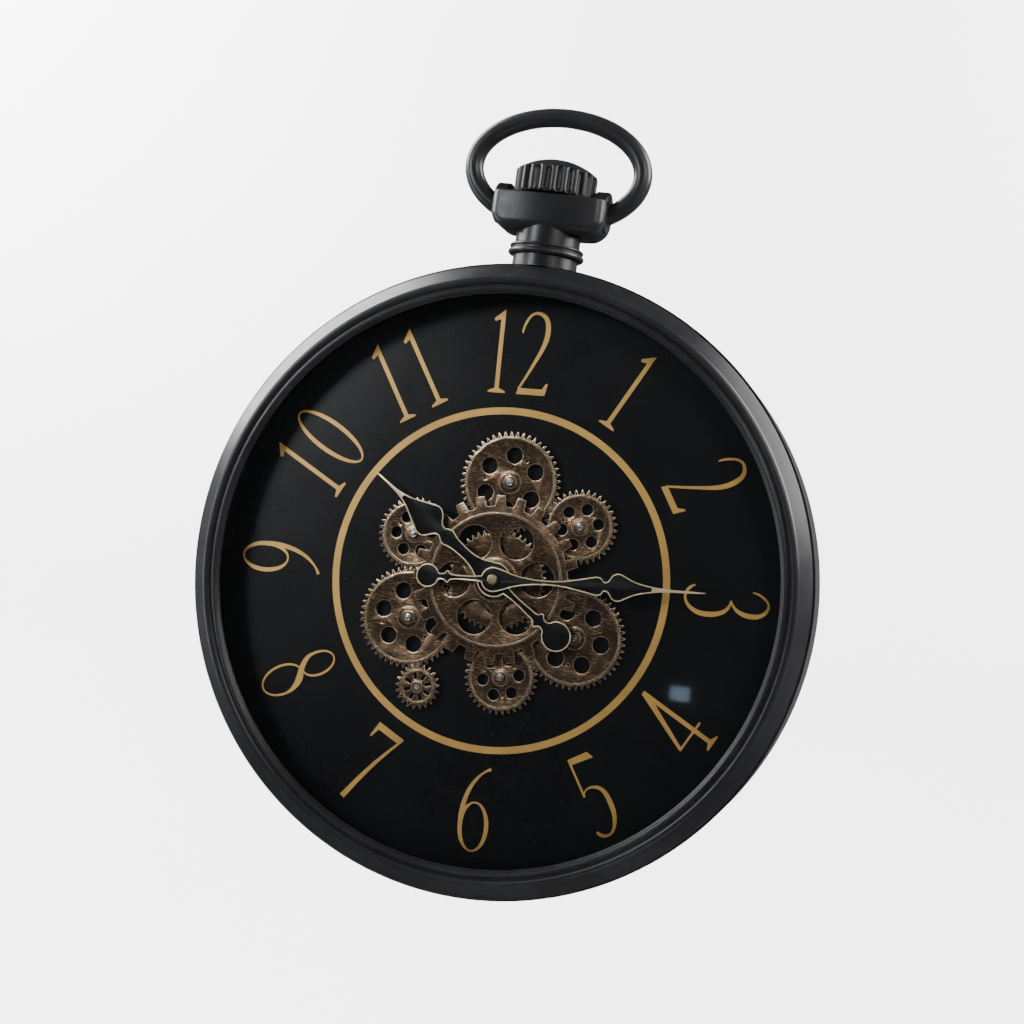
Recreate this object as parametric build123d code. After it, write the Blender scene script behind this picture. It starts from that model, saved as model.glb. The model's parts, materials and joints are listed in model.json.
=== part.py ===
from build123d import *
import os
from math import cos, hypot, radians, sin

os.makedirs("parts", exist_ok=True)

# Wall clock in the shape of a giant pocket watch, with a train of moving gears on its dial.
# Frame: X to the right (3 o'clock), Z up (12 o'clock), Y into the wall. The wall plane is Y = 0
# and the spindle runs along Y through the origin. A "depth" below is the distance in front of
# the wall, so a depth of 45 is Y = -45. All sizes are in millimetres.

# ---------------------------------------------------------------- driving dimensions
CASE_R = 260.0            # outer radius of the case drum
WALL = 3.0                # sheet thickness of the drum
DRUM_DEPTH = 62.0         # depth of the drum's front edge
BACK_T = 3.0              # back cover thickness
DIAL_FRONT = 45.0         # depth of the dial's front face
DIAL_T = 3.0
SHROUD_R = 240.5          # inner radius of the dark wall between dial and glass
GLASS_R = 237.6
GLASS_BACK = 67.5
GLASS_T = 2.5
RING_OUTER, RING_INNER = 143.0, 137.1   # gold ring on the dial
PRINT_T = 0.4             # thickness of the applied ring and numerals
NUMERAL_BASE = 154.5      # radius of the numerals' inner end
NUMERAL_H = 69.5          # height of the numerals
DIAL_TURN = 2.4           # the dial and all on it sit this many degrees anticlockwise of the crown
MODULE = 1.65             # gear module of the visible fine train
FINE_BACK, FINE_T = 48.0, 3.0           # depth of the fine gears' back face, thickness
GREAT_BACK, GREAT_T = 52.5, 2.5         # the coarse gear in front of them
LARGE_N, MEDIUM_N, SMALL_N = 49, 35, 21
RUN_CLEAR = 0.05          # radial clearance of every shaft that turns in a hole
CROWN_DEPTH = 38.0        # depth of the vertical axis of neck, crown and bow
YOKE_TOP = 320.0          # height of the yoke's channel floor
BOW_PIVOT_Z = 311.0
MINUTE_ANGLE = 2.0 + DIAL_TURN         # degrees anticlockwise from 3 o'clock
HOUR_ANGLE = 144.0 + DIAL_TURN
HOUR_BACK, MINUTE_BACK = 59.0, 62.0     # depth of the back of each hand


# ---------------------------------------------------------------- helpers
def at(depth, x=0.0, z=0.0, turn=0.0):
    """A sketch plane facing the room at a depth: sketch x is X, sketch y is Z."""
    return Plane(origin=(x, -depth, z), x_dir=(1, 0, 0), z_dir=(0, -1, 0)) * Rot(0, 0, turn)


def plate(sketch, back, front, x=0.0, z=0.0, turn=0.0):
    """A sketch extruded from one depth to a nearer one."""
    return extrude(at(back, x, z, turn) * sketch, front - back)


def disc(radius, back, front, x=0.0, z=0.0, bore=0.0):
    face = Circle(radius)
    if bore:
        face = face - Circle(bore)
    return plate(face, back, front, x, z)


def turned(points):
    """A profile of (radius, depth) points turned round the spindle axis."""
    outline = Polyline(*[(r, -depth) for r, depth in points], close=True)
    return revolve(make_face(outline), Axis.Y)


def crown_turned(points):
    """A profile of (radius, height) points turned round the crown's vertical axis."""
    plane = Plane(origin=(0, -CROWN_DEPTH, 0), x_dir=(1, 0, 0), z_dir=(0, -1, 0))
    face = plane * make_face(Polyline(*points, close=True))
    return revolve(face, Axis((0, -CROWN_DEPTH, 0), (0, 0, 1)))


def ring_places(radius, count, start=0.0):
    return [(radius * cos(radians(start + 360 * k / count)),
             radius * sin(radians(start + 360 * k / count))) for k in range(count)]


def spots(places, radius):
    return [Pos(x, z) * Circle(radius) for x, z in places]


def save(name, shape):
    solids = shape.solids()
    shape = solids[0] if len(solids) == 1 else Compound(children=list(solids))
    shape.label = name
    export_step(shape, f"parts/{name}.step")


def gear_face(teeth, module, phase, root=0.66, mid=0.40, tip=0.14, addendum=1.0, dedendum=1.25):
    """Straight-sided teeth; widths are fractions of the tooth pitch; a tooth centre is at phase."""
    pitch_r = teeth * module / 2
    pitch = 360 / teeth
    rows = [(pitch_r - dedendum * module, root), (pitch_r, mid), (pitch_r + addendum * module, tip)]
    points = []
    for k in range(teeth):
        for side, order in ((-1, rows), (1, rows[::-1])):
            for radius, share in order:
                angle = radians(phase + (k + side * share / 2) * pitch)
                points.append((radius * cos(angle), radius * sin(angle)))
    return make_face(Polyline(*points, close=True))


def mesh_phase(angle, driver_teeth, driver_phase, teeth):
    """Phase of a gear that meshes with a driver at this angle from the driver's centre."""
    lead = (driver_phase - angle) % (360 / driver_teeth)
    return angle + 180 - lead * driver_teeth / teeth + 180 / teeth


def rim(radius, width, back, height, x, z):
    """A low raised ring on a gear's face."""
    return disc(radius + width / 2, back, back + height, x, z, bore=radius - width / 2)


# ---------------------------------------------------------------- case, bezel and glass
LEDGE = (38.0, 42.0)      # depths of the ledge under the dial board
SCREW_R = 1.5
HEAD_R = 3.0
BEZEL_SCREWS = ring_places(251.5, 8, 22.5)
DIAL_SCREWS = ring_places(252.5, 6, 0)
COVER_SCREWS = ring_places(250.0, 8, 0)
KEYHOLE_Z = 205.0
KEYHOLE_R = 5.0
TRAY_X, TRAY_Z = 4.0, -112.0            # centre of the gear motor's battery tray
WINDOWS = [(0.0, -14.0, 60.0, 60.0), (TRAY_X, TRAY_Z, 58.0, 36.0)]   # x, z, width, height

drum = turned([(CASE_R - WALL, 0.0), (CASE_R, 0.0), (CASE_R, DRUM_DEPTH), (246.0, DRUM_DEPTH),
               (246.0, 59.0), (CASE_R - WALL, 59.0), (CASE_R - WALL, LEDGE[1]),
               (248.5, LEDGE[1]), (248.5, LEDGE[0]), (CASE_R - WALL, LEDGE[0]),
               (CASE_R - WALL, 6.0), (244.0, 6.0), (244.0, BACK_T), (CASE_R - WALL, BACK_T)])
drum -= plate(Sketch() + spots(BEZEL_SCREWS, SCREW_R + 0.2), 58.0, 63.0)
drum -= plate(Sketch() + spots(DIAL_SCREWS, SCREW_R), LEDGE[0] - 1, LEDGE[1] + 1)
drum -= plate(Sketch() + spots(COVER_SCREWS, SCREW_R), 2.0, 7.0)
drum -= Pos(0, -CROWN_DEPTH, CASE_R) * Cylinder(9.0, 30)
save("case_drum", drum)


def bezel_profile():
    """Front ring: step, wide flat bevel, bead, groove, thin ridge, lip over the glass."""
    edges = [
        Line((238.0, -62.0), (258.0, -62.0)),
        Line((258.0, -62.0), (258.0, -65.3)),
        Line((258.0, -65.3), (248.2, -74.0)),
        ThreePointArc((248.2, -74.0), (244.6, -76.2), (241.0, -74.2)),
        Line((241.0, -74.2), (239.3, -74.2)),
        ThreePointArc((239.3, -74.2), (237.2, -76.5), (235.5, -74.4)),
        Line((235.5, -74.4), (233.6, -72.6)),
        Line((233.6, -72.6), (233.6, -70.2)),
        Line((233.6, -70.2), (238.0, -70.2)),
        Line((238.0, -70.2), (238.0, -62.0)),
    ]
    return make_face(edges)


bezel = revolve(bezel_profile(), Axis.Y)
bezel -= plate(Sketch() + spots(BEZEL_SCREWS, SCREW_R), 61.0, 67.0)
save("front_bezel", bezel)
save("front_glass", disc(GLASS_R, GLASS_BACK, GLASS_BACK + GLASS_T))
save("glass_spring_ring", disc(237.9, 65.2, 67.4, bore=234.8))
save("dial_shroud", disc(243.0, DIAL_FRONT, DRUM_DEPTH, bore=SHROUD_R))

cover = disc(CASE_R - WALL - 0.2, 0.0, BACK_T)
for x, z, w, h in WINDOWS:
    cover -= plate(Rectangle(w, h), -1.0, BACK_T + 1, x, z)
    cover -= plate(Rectangle(w + 8.4, h + 8.4), -1.0, 1.5, x, z)
cover -= plate(Sketch() + spots(COVER_SCREWS, SCREW_R + 0.25), -1.0, BACK_T + 1)
cover -= plate(Sketch() + spots(COVER_SCREWS, HEAD_R + 0.2), -1.0, 1.6)
keyhole = Circle(KEYHOLE_R) + Pos(0, 7.0) * Rectangle(5.0, 14.0) + Pos(0, 14.0) * Circle(2.5)
cover -= plate(keyhole, -1.0, BACK_T + 1, 0, KEYHOLE_Z)
HANGER_RIVETS = [(x, KEYHOLE_Z + 5 + z) for x in (-18, 18) for z in (-12, 12)]
cover -= plate(Sketch() + spots(HANGER_RIVETS, 2.0), -1.0, BACK_T + 1)
save("back_cover", cover)
hanger = plate(RectangleRounded(50, 38, 4), BACK_T, BACK_T + 2, 0, KEYHOLE_Z + 5)
hanger -= plate(keyhole, 0.0, 10.0, 0, KEYHOLE_Z)
hanger -= plate(Sketch() + spots(HANGER_RIVETS, 2.0), 0.0, 10.0)
save("hanger_plate", hanger)
save("hanger_rivets", plate(Sketch() + spots(HANGER_RIVETS, 2.0), 0.4, 5.0)
     + plate(Sketch() + spots(HANGER_RIVETS, 3.2), 5.0, 6.2))
save("battery_hatches", Compound(children=[plate(Rectangle(w + 8, h + 8), 0.0, 1.5, x, z)
                                           for x, z, w, h in WINDOWS]))


def screws(places, head, shank, head_r=HEAD_R):
    """Round-headed screws: head and shank are (back, front) depths; each has a driver slot."""
    heads = plate(Sketch() + spots(places, head_r), *head)
    slot = Sketch() + [Pos(x, z) * Rectangle(2 * head_r * 0.9, 0.8) for x, z in places]
    outer = head[0] if head[0] < shank[0] else head[1]
    heads -= plate(slot, outer - 0.5, outer + 0.5)
    return heads + plate(Sketch() + spots(places, SCREW_R), *shank)


save("back_cover_screws", screws(COVER_SCREWS, (0.2, 1.6), (1.6, 8.5)))
save("bezel_screws", screws(BEZEL_SCREWS, (57.0, 59.0), (59.0, 66.8)))
save("dial_screws", screws(DIAL_SCREWS, (45.0, 46.8), (36.5, 45.0)))

# ---------------------------------------------------------------- gear train layout
centre_phase = DIAL_TURN
LARGE_PITCH = LARGE_N * MODULE / 2
large_gap = LARGE_PITCH * 2
medium_gap = (LARGE_N + MEDIUM_N) * MODULE / 2
small_gap = (LARGE_N + SMALL_N) * MODULE / 2


def polar(origin, radius, angle):
    return (origin[0] + radius * cos(radians(angle)), origin[1] + radius * sin(radians(angle)))


train = {}
for name, angle in (("top_gear", 87.5), ("left_gear", 208.2), ("right_gear", -30.4)):
    angle += DIAL_TURN
    train[name] = (polar((0, 0), large_gap, angle), LARGE_N,
                   mesh_phase(angle, LARGE_N, centre_phase, LARGE_N))
for name, driver, angle, teeth, gap in (("upper_right_gear", "top_gear", -26.8, MEDIUM_N, medium_gap),
                                        ("bottom_gear", "right_gear", 213.5, MEDIUM_N, medium_gap),
                                        ("upper_left_gear", "left_gear", 92.1, MEDIUM_N, medium_gap),
                                        ("drive_pinion", "left_gear", -76.4, SMALL_N, small_gap)):
    angle += DIAL_TURN
    place, driver_teeth, driver_phase = train[driver]
    train[name] = (polar(place, gap, angle), teeth,
                   mesh_phase(angle, driver_teeth, driver_phase, teeth))
HOLE_PHASE = {"top_gear": 26.3, "right_gear": -8.3, "left_gear": 46.7, "upper_right_gear": 13.0,
              "bottom_gear": 12.0, "upper_left_gear": -1.0}
POST_R = 3.0
MOTOR = train["drive_pinion"][0]
fine_front = FINE_BACK + FINE_T

for name, phase in HOLE_PHASE.items():
    (x, z), teeth, tooth_phase = train[name]
    scale = teeth / LARGE_N
    phase += DIAL_TURN
    holes = ring_places(22.5 if teeth == LARGE_N else 15.3, 6, phase)
    pips = ring_places((22.5 if teeth == LARGE_N else 15.3) * 0.98, 3, phase + 30)
    face = gear_face(teeth, MODULE, tooth_phase) - Circle(POST_R + RUN_CLEAR)
    face = face - spots(holes, 6.9 * (1.0 if teeth == LARGE_N else 0.70)) - spots(pips, 1.2)
    wheel = plate(face, FINE_BACK, fine_front, x, z)
    wheel += rim(teeth * MODULE / 2 - 3.4, 1.2, fine_front, 0.5, x, z)
    wheel += disc(8.0 * scale + 1.2, fine_front, fine_front + 0.4, x, z, bore=POST_R + RUN_CLEAR)
    save(name, wheel)

(x, z), teeth, tooth_phase = train["drive_pinion"]
slots = Sketch()
for k in range(8):
    slots += Rot(0, 0, 45 * k + 20) * Pos(9.0, 0) * SlotOverall(6.4, 3.0)
face = gear_face(teeth, MODULE, tooth_phase) - Circle(2.0) - slots
pinion = plate(face, FINE_BACK, fine_front, x, z)
pinion += rim(13.4, 1.0, fine_front, 0.4, x, z)
pinion += disc(4.6, fine_front, fine_front + 1.4, x, z, bore=2.0)
save("drive_pinion", pinion)

BUSH_R = 7.0
TUBE_R = 4.0
centre_holes = spots(ring_places(24.0, 6, centre_phase + 30), 5.0)
save("centre_gear", plate(gear_face(LARGE_N, MODULE, centre_phase) - Circle(BUSH_R) - centre_holes,
                          FINE_BACK, fine_front))
great_holes = spots(ring_places(35.3, 6, 5.3 + DIAL_TURN), 14.3)
great_face = gear_face(24, 5.36, 4.0, root=0.58, mid=0.50, tip=0.40, addendum=1.0, dedendum=0.66)
great = plate(great_face - Circle(BUSH_R) - great_holes, GREAT_BACK, GREAT_BACK + GREAT_T)
great += rim(54.6, 1.4, GREAT_BACK + GREAT_T, 0.5, 0, 0)
great += disc(18.0, GREAT_BACK + GREAT_T, GREAT_BACK + GREAT_T + 0.8, bore=BUSH_R)
save("great_gear", great)
save("centre_bush", turned([(TUBE_R + RUN_CLEAR, 47.7), (BUSH_R, 47.7), (BUSH_R, fine_front),
                            (12.0, fine_front), (12.0, GREAT_BACK), (BUSH_R, GREAT_BACK),
                            (BUSH_R, 57.0), (TUBE_R + RUN_CLEAR, 57.0)]))

post_places = [train[name][0] for name in HOLE_PHASE]
posts = plate(Sketch() + spots(post_places, 6.0), DIAL_FRONT, 47.8)
posts += plate(Sketch() + spots(post_places, POST_R), 38.0, 51.7)
posts -= plate(Sketch() + spots(post_places, 1.2), 44.0, 52.0)
save("gear_posts", posts)
save("gear_washers", plate(Sketch() + spots(post_places, 5.5) - spots(post_places, 1.25), 51.7, 52.4))
gear_screws = plate(Sketch() + spots(post_places, 3.1), 52.4, 54.0)
gear_screws += plate(Sketch() + spots(post_places, 1.2), 46.0, 52.4)
gear_screws -= plate(Sketch() + spots(post_places, 2.3) - spots(post_places, 1.5), 53.3, 54.5)
gear_screws += plate(Sketch() + spots(post_places, 1.5), 54.0, 54.6)
save("gear_screws", gear_screws)

# ---------------------------------------------------------------- dial, ring and numerals
dial = disc(256.6, DIAL_FRONT - DIAL_T, DIAL_FRONT, bore=TUBE_R)
dial -= plate(Sketch() + spots(DIAL_SCREWS, SCREW_R), 40.0, 46.0)
dial -= plate(Sketch() + spots(post_places, POST_R), 40.0, 46.0)
dial -= disc(2.0 + RUN_CLEAR, 40.0, 46.0, *MOTOR)
save("dial_board", dial)
save("dial_ring", disc(RING_OUTER, DIAL_FRONT, DIAL_FRONT + PRINT_T, bore=RING_INNER))


def stroke(*points):
    """A pen stroke: centreline points with a pen width at each, as a smooth filled shape."""
    left, right = [], []
    for k, (x, y, width) in enumerate(points):
        ahead, behind = points[min(k + 1, len(points) - 1)], points[max(k - 1, 0)]
        dx, dy = ahead[0] - behind[0], ahead[1] - behind[1]
        run = hypot(dx, dy)
        left.append((x - dy / run * width / 2, y + dx / run * width / 2))
        right.append((x + dy / run * width / 2, y - dx / run * width / 2))
    ends = Line(left[-1], right[-1]), Line(right[0], left[0])
    return make_face([Spline(*left), ends[0], Spline(*right[::-1]), ends[1]])


def polygon(*points):
    return make_face(Polyline(*points, close=True))


def bowl(x, y, rx, ry, side=3.6, top=1.4):
    """A closed round of a digit, thick at its sides and thin at top and bottom."""
    return Pos(x, y) * Ellipse(rx, ry) - Pos(x, y) * Ellipse(rx - side, ry - top)


def six():
    stem = stroke((-11.1, 20, 3.8), (-10.8, 33, 3.9), (-7.6, 47, 3.4), (-1, 59.5, 2.4), (4.8, 65.4, 1.8),
                  (10.6, 68.8, 2.8))
    return bowl(0, 20.5, 13, 20.5) + stem


def one():
    foot = polygon((-7.4, 0), (7.4, 0), (7.2, 1.5), (1.8, 3.8), (-1.8, 3.8), (-7.2, 1.5))
    flag = polygon((1.8, 69.5), (-7.6, 61.6), (-6.6, 59.4), (-1.8, 61.2), (1.8, 61.2))
    return Pos(0, 34) * Rectangle(3.6, 66) + foot + flag


DIGITS = {
    "0": bowl(0, 34.75, 13.2, 34.75),
    "1": one(),
    "2": stroke((-12, 51, 1.4), (-9.4, 60.6, 2.0), (-2.6, 67.8, 2.3), (5.2, 65.8, 3.4), (9.2, 56, 4.2),
                (7.6, 43, 3.8), (2, 30, 2.8), (-5, 16, 2.1), (-11.4, 4, 1.6))
         + polygon((-12.8, 0), (11.4, 0), (13.4, 10), (12.0, 10.4), (8.6, 5.2), (-11.2, 5.2)),
    "3": stroke((-10.4, 55, 1.0), (-7.2, 63.6, 1.9), (-0.8, 68.4, 2.1), (6, 65, 3.2), (8.8, 55, 4.1),
                (5.6, 44.2, 2.9), (-2.4, 38.2, 1.3))
         + stroke((-2.4, 38.2, 1.3), (5.4, 35, 2.9), (10.2, 21.5, 4.2), (6.4, 6.4, 3.2), (-2, 1.1, 2.1),
                  (-8.6, 3.2, 2.4), (-12.4, 8.6, 1.0)),
    "4": Pos(6.2, 34.75) * Rectangle(3.6, 69.5) + Pos(0, 18.4) * Rectangle(28, 1.9)
         + polygon((-0.6, 0), (13.4, 0), (13.2, 1.5), (8.0, 3.8), (4.4, 3.8), (-0.4, 1.5))
         + polygon((4.4, 69.5), (8.0, 69.5), (8.0, 65), (-11.6, 18.4), (-14, 18.4), (-14, 19.6)),
    "5": Pos(-9.0, 51) * Rectangle(1.8, 29) + polygon((-9.9, 69.5), (7.6, 69.5), (10.8, 63.4), (-9.9, 64.4))
         + stroke((-9.6, 36.8, 1.2), (-3.4, 42, 1.6), (4.6, 39.4, 2.9), (8.8, 25, 4.1), (5.2, 8, 3.1),
                  (-2, 1.4, 2.2), (-8, 2.8, 2.8), (-11.2, 7.2, 2.2)),
    "6": six(),
    "7": polygon((-12.6, 69.5), (13, 69.5), (13, 66.8), (9.4, 63.8), (-9.6, 63.8), (-11.8, 55), (-13.2, 55.6))
         + stroke((12.0, 67.4, 1.5), (7.8, 54, 2.3), (3.6, 38, 3.1), (0, 20, 3.8), (-3.0, 0, 4.8)),
    "8": bowl(0, 19.4, 12.6, 19.4, side=2.0, top=1.3) + bowl(0, 54.0, 10.2, 15.5, side=2.0, top=1.3)
         + stroke((-9.3, 54, 1.9), (-7.6, 46, 3.6), (-1.2, 38.2, 4.6), (6.8, 30.6, 4.4), (11.5, 19, 2.1)),
    "9": Rot(0, 0, 180) * Pos(0, -NUMERAL_H) * six(),
}
PAIRS = {10: ("1", -18.0, "0", 13.5), 11: ("1", -15.5, "1", 15.0), 12: ("1", -17.5, "2", 12.2)}
NUDGES = {4: (-9.5, 3.4), 5: (3.0, -3.2)}   # how far these sit off their even places, across and up
numerals = Sketch()
for hour in range(1, 13):
    parts = PAIRS.get(hour, (str(hour), 0.0))
    tops_in = 4 <= hour <= 8
    base = -(NUMERAL_BASE + NUMERAL_H) if tops_in else NUMERAL_BASE
    turn = DIAL_TURN - 30 * hour + (180 if tops_in else 0)
    across, up = NUDGES.get(hour, (0.0, 0.0))
    for digit, shift in zip(parts[::2], parts[1::2]):
        numerals += Rot(0, 0, turn) * Pos(shift + across, base + up) * DIGITS[digit]
save("hour_numerals", plate(numerals, DIAL_FRONT, DIAL_FRONT + PRINT_T))

# ---------------------------------------------------------------- hands
TRIM = 0.95               # width of the pale edge round each hand
PLATE_T, TRIM_T = 0.8, 0.5
PIPE_R, PIPE_BORE = 2.75, 1.6
ARBOR_R = 1.55


def blade(sides, inset=0.0):
    """A symmetric outline from (station, half width) points, drawn in from its edge by inset."""
    upper = []
    for k, (s, w) in enumerate(sides):
        ahead, behind = sides[min(k + 1, len(sides) - 1)], sides[max(k - 1, 0)]
        ds, dw = ahead[0] - behind[0], ahead[1] - behind[1]
        run = hypot(ds, dw)
        upper.append((s + inset * dw / run, w - inset * ds / run))
    lower = [(s, -w) for s, w in upper]
    return make_face([Spline(*upper), Line(upper[-1], lower[-1]), Spline(*lower[::-1]),
                      Line(lower[0], upper[0])])


def hand(front_sides, tail_sides, hub_r, weight_at, weight_r, bore, angle, back, name):
    """A black plate with a raised pale edge, for a hand that points at angle from 3 o'clock."""
    wide = [point for point in front_sides if point[1] > 1.75]
    outer = blade(front_sides) + blade(tail_sides) + Circle(hub_r) + Pos(weight_at, 0) * Circle(weight_r)
    inner = (blade(wide, TRIM) + blade(tail_sides, TRIM) + Circle(hub_r - TRIM)
             + Pos(weight_at, 0) * Circle(weight_r - TRIM))
    save(f"{name}_plate", plate(outer - Circle(bore), back, back + PLATE_T, turn=angle))
    save(f"{name}_edge", plate(outer - inner, back + PLATE_T, back + PLATE_T + TRIM_T, turn=angle))


minute_sides = [(0, 10.1), (6, 9.0), (14, 6.2), (24, 3.7), (36, 2.2), (48, 1.9), (60, 2.8), (72, 5.0),
                (82, 7.1), (87.5, 7.6), (90, 6.4), (92.2, 3.9), (95, 4.6), (98.5, 9.4), (103.5, 11.3),
                (109, 9.4), (115, 6.4), (122, 4.2), (131, 2.5), (142, 1.3), (158, 0.9), (174, 0.35)]
minute_tail = [(-47.5, 3.4), (-43.5, 2.6), (-41, 3.2), (-38.6, 5.2), (-36.5, 3.4), (-33, 2.1),
               (-24, 1.9), (-14, 2.2), (-6, 3.6)]
hour_sides = [(0, 14.2), (7, 12.2), (14, 8.6), (22, 5.6), (31, 4.5), (40, 4.7), (48, 6.0), (53, 7.2),
              (56, 6.0), (59, 4.3), (62.5, 5.4), (66.5, 10.4), (73, 14.5), (80, 12.4), (88, 8.7), (96, 4.9),
              (104, 2.5), (112, 1.3), (122, 0.8), (133, 0.35)]
hour_tail = [(-58.5, 5.4), (-55.5, 3.7), (-52.5, 4.6), (-49.5, 6.8), (-47, 4.4), (-42, 3.1),
             (-30, 2.6), (-19, 3.0), (-8, 5.0)]
hand(hour_sides, hour_tail, 14.3, -69.5, 12.3, PIPE_R, HOUR_ANGLE, HOUR_BACK, "hour_hand")
hand(minute_sides, minute_tail, 10.2, -55.2, 9.7, ARBOR_R, MINUTE_ANGLE, MINUTE_BACK, "minute_hand")
save("hour_hand_bush", disc(5.6, 57.8, HOUR_BACK, bore=PIPE_R))
nut = disc(4.5, MINUTE_BACK + PLATE_T, 66.2) - disc(ARBOR_R, MINUTE_BACK, 65.0)
save("hand_nut", fillet(nut.edges().filter_by(GeomType.CIRCLE).group_by(Axis.Y)[0], 1.2))

# ---------------------------------------------------------------- clock movement behind the dial
MOVE = 0.5                # module of the motion work
motion_gap = (10 + 30) * MOVE / 2
save("centre_tube", turned([(PIPE_R + RUN_CLEAR, 38.5), (6.5, 38.5), (6.5, 40.0), (TUBE_R, 40.0),
                            (TUBE_R, 57.6), (PIPE_R + RUN_CLEAR, 57.6)]))
save("movement_nut", plate(RegularPolygon(7.5, 6) - Circle(TUBE_R), DIAL_FRONT, 47.4))
hour_phase = mesh_phase(90, 8, 0, 32)
save("hour_wheel", plate(gear_face(32, MOVE, hour_phase, addendum=0.9) - Circle(PIPE_BORE), 28.0, 30.0)
     + disc(PIPE_R, 28.0, 60.8, bore=PIPE_BORE))
minute_arbor = disc(ARBOR_R, 19.7, 65.0) + plate(gear_face(10, MOVE, 0, addendum=0.9), 24.0, 26.4)
save("minute_arbor", minute_arbor)
wheel_phase = mesh_phase(-90, 10, 0, 30)
setting = plate(gear_face(30, MOVE, wheel_phase, addendum=0.9), 24.2, 26.2, 0, -motion_gap)
setting += plate(gear_face(8, MOVE, 0, addendum=0.9), 26.2, 30.4, 0, -motion_gap)
setting += disc(1.0, 15.0, 39.0, 0, -motion_gap)
save("setting_wheel", setting)
knob_face = gear_face(24, 0.55, 0, root=0.6, mid=0.5, tip=0.35, addendum=0.6, dedendum=0.6)
save("setting_knob", plate(knob_face - Circle(1.0), 12.0, 17.0, 0, -motion_gap))

MOVE_Z = -14.0            # height of the movement box's centre
case = plate(RectangleRounded(58, 58, 3), 21.0, 41.6, 0, MOVE_Z)
case -= plate(RectangleRounded(55, 39.5, 2), 20.0, 40.0, 0, MOVE_Z + 7.75)
case -= plate(Rectangle(52, 15.2), 20.0, 38.0, 0, -35.0)
case -= disc(TUBE_R, 39.0, 42.0)
save("movement_case", case)
lid = plate(RectangleRounded(58, 41, 3), 19.5, 21.0, 0, MOVE_Z + 8.5)
lid -= disc(ARBOR_R + RUN_CLEAR, 19.0, 22.0) + disc(1.0 + RUN_CLEAR, 19.0, 22.0, 0, -motion_gap)
save("movement_lid", lid)


def cell(x, z, depth, length=50.0, radius=7.1):
    """A round AA cell lying along X, with its small positive cap at the right."""
    body = Pos(x, -depth, z) * Rot(0, 90, 0) * Cylinder(radius, length - 1.4)
    return body + Pos(x + length / 2, -depth, z) * Rot(0, 90, 0) * Cylinder(2.7, 1.4)


save("clock_battery", cell(-0.5, -35.0, 29.0))
coil = Pos(-17, -31, 6) * Rot(0, 90, 0) * Cylinder(3.4, 14)
coil += Pos(-17, -31, 6) * Box(17.5, 2.4, 2.4)
save("stepper_coil", coil)
save("circuit_board", plate(Rectangle(18, 12), 34.0, 35.2, 17, 6) + plate(Rectangle(6, 6), 32.6, 34.0, 17, 6))

# ---------------------------------------------------------------- gear motor and its battery box
mx, mz = MOTOR
shaft = disc(2.0, 24.0, 52.6, mx, mz)
shaft += plate(gear_face(36, MOVE, 0, addendum=0.9), 30.0, 32.0, mx, mz)
save("motor_shaft", shaft)
motor_gap = (36 + 12) * MOVE / 2
px, pz = mx + motor_gap, mz
motor_pinion = disc(1.0, 24.4, 34.0, px, pz)
motor_pinion += plate(gear_face(12, MOVE, mesh_phase(0, 36, 0, 12), addendum=0.9), 29.6, 32.4, px, pz)
save("motor_pinion", motor_pinion)
GEARBOX = (44.0, 34.0)
box_x = mx + 3.0
box = plate(RectangleRounded(*GEARBOX, 3), 23.0, 41.8, box_x, mz)
box -= plate(RectangleRounded(GEARBOX[0] - 3, GEARBOX[1] - 3, 2), 22.0, 40.0, box_x, mz)
box -= disc(2.0 + RUN_CLEAR, 39.0, 43.0, mx, mz)
save("gearbox_case", box)
lid = plate(RectangleRounded(*GEARBOX, 3), 21.5, 23.0, box_x, mz) - disc(1.0 + RUN_CLEAR, 21.0, 24.0, px, pz)
save("gearbox_lid", lid)
save("motor_can", disc(8.0, 34.0, 40.0, px, pz))
tray = plate(RectangleRounded(60, 35, 2), 20.0, 41.8, TRAY_X, TRAY_Z)
tray -= plate(Rectangle(54, 32), 19.0, 39.8, TRAY_X, TRAY_Z)
save("battery_tray", tray)
save("gear_batteries", Compound(children=[cell(TRAY_X - 0.5, TRAY_Z + rise, 29.5) for rise in (-8, 8)]))

# ---------------------------------------------------------------- neck, yoke, crown and bow
NECK_R = 27.0
STEM_R = 5.0
neck = crown_turned([(9.0, 240.0), (NECK_R, 240.0), (NECK_R, 296.0), (STEM_R, 296.0), (STEM_R, 280.0),
                     (9.0, 280.0)])
neck -= Rot(90, 0, 0) * Cylinder(CASE_R, 200)
save("pendant_neck", neck)
collar_bead = [(NECK_R, 269.6), (29.8, 269.6), (31.2, 270.6), (31.7, 272.0), (31.2, 273.4), (29.8, 274.4),
               (29.6, 275.6), (30.6, 276.2), (30.9, 277.1), (30.6, 278.0), (29.6, 278.6), (NECK_R, 278.6)]
save("neck_collar", crown_turned(collar_bead))
stem_nut = crown_turned([(STEM_R, 270.0), (8.6, 270.0), (8.6, 279.8), (STEM_R, 279.8)])
save("stem_nut", stem_nut)
save("crown_stem", crown_turned([(0, 266.0), (STEM_R, 266.0), (STEM_R, 340.0), (0, 340.0)]))

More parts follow.
